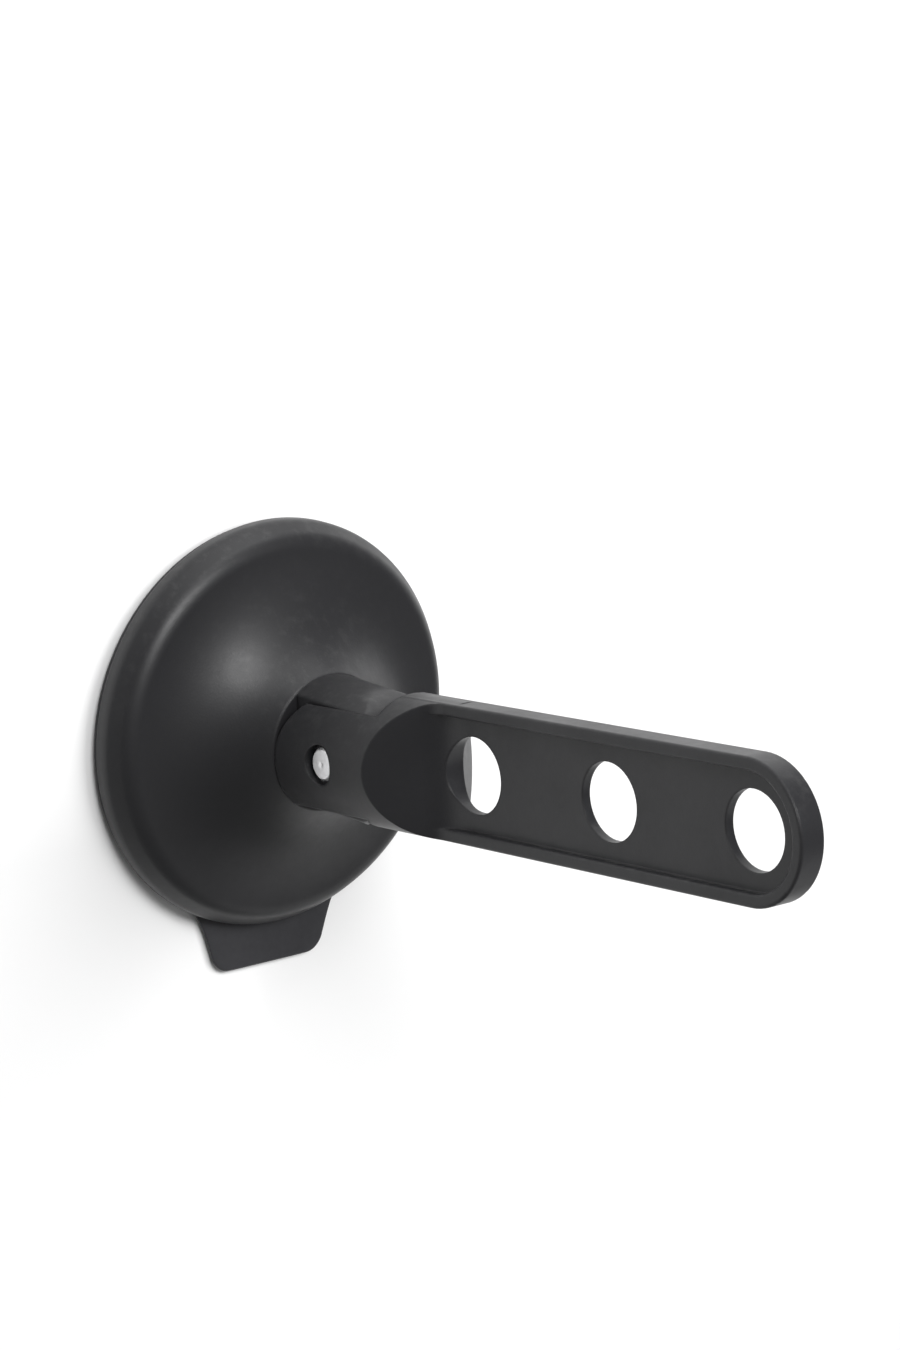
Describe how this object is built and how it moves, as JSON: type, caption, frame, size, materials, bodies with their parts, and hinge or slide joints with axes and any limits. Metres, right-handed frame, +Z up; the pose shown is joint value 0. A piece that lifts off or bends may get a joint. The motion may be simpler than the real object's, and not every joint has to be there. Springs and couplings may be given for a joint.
{
  "type": "folding wall hook",
  "caption": "Suction-cup wall hook: a hat-shaped cover over a rubber cup, and a flat arm with hanger holes that folds up on a steel pin.",
  "frame": {"origin": "centre of the suction cup's face, on the wall", "axes": "+Y into the wall, -Y out along the cup's axis, +Z up, +X across"},
  "size_m": [0.08, 0.152, 0.0892],
  "materials": {
    "cup_rubber": "satin",
    "cover_plastic": "satin",
    "pin_steel": "brushed",
    "washer_plastic": "matte",
    "arm_plastic": "satin"
  },
  "bodies": {
    "base": {"suction_cup": "cup_rubber", "base_cover": "cover_plastic", "washer_left": "washer_plastic", "washer_right": "washer_plastic"},
    "arm": {"arm": "arm_plastic", "hinge_pin": "pin_steel"}
  },
  "joints": [
    {"name": "arm_fold", "type": "hinge", "parent": "base", "child": "arm", "pos_m": [0, -0.0348, 0.0006], "axis": [-1, 0, 0], "range_deg": [0, 84.5]}
  ]
}
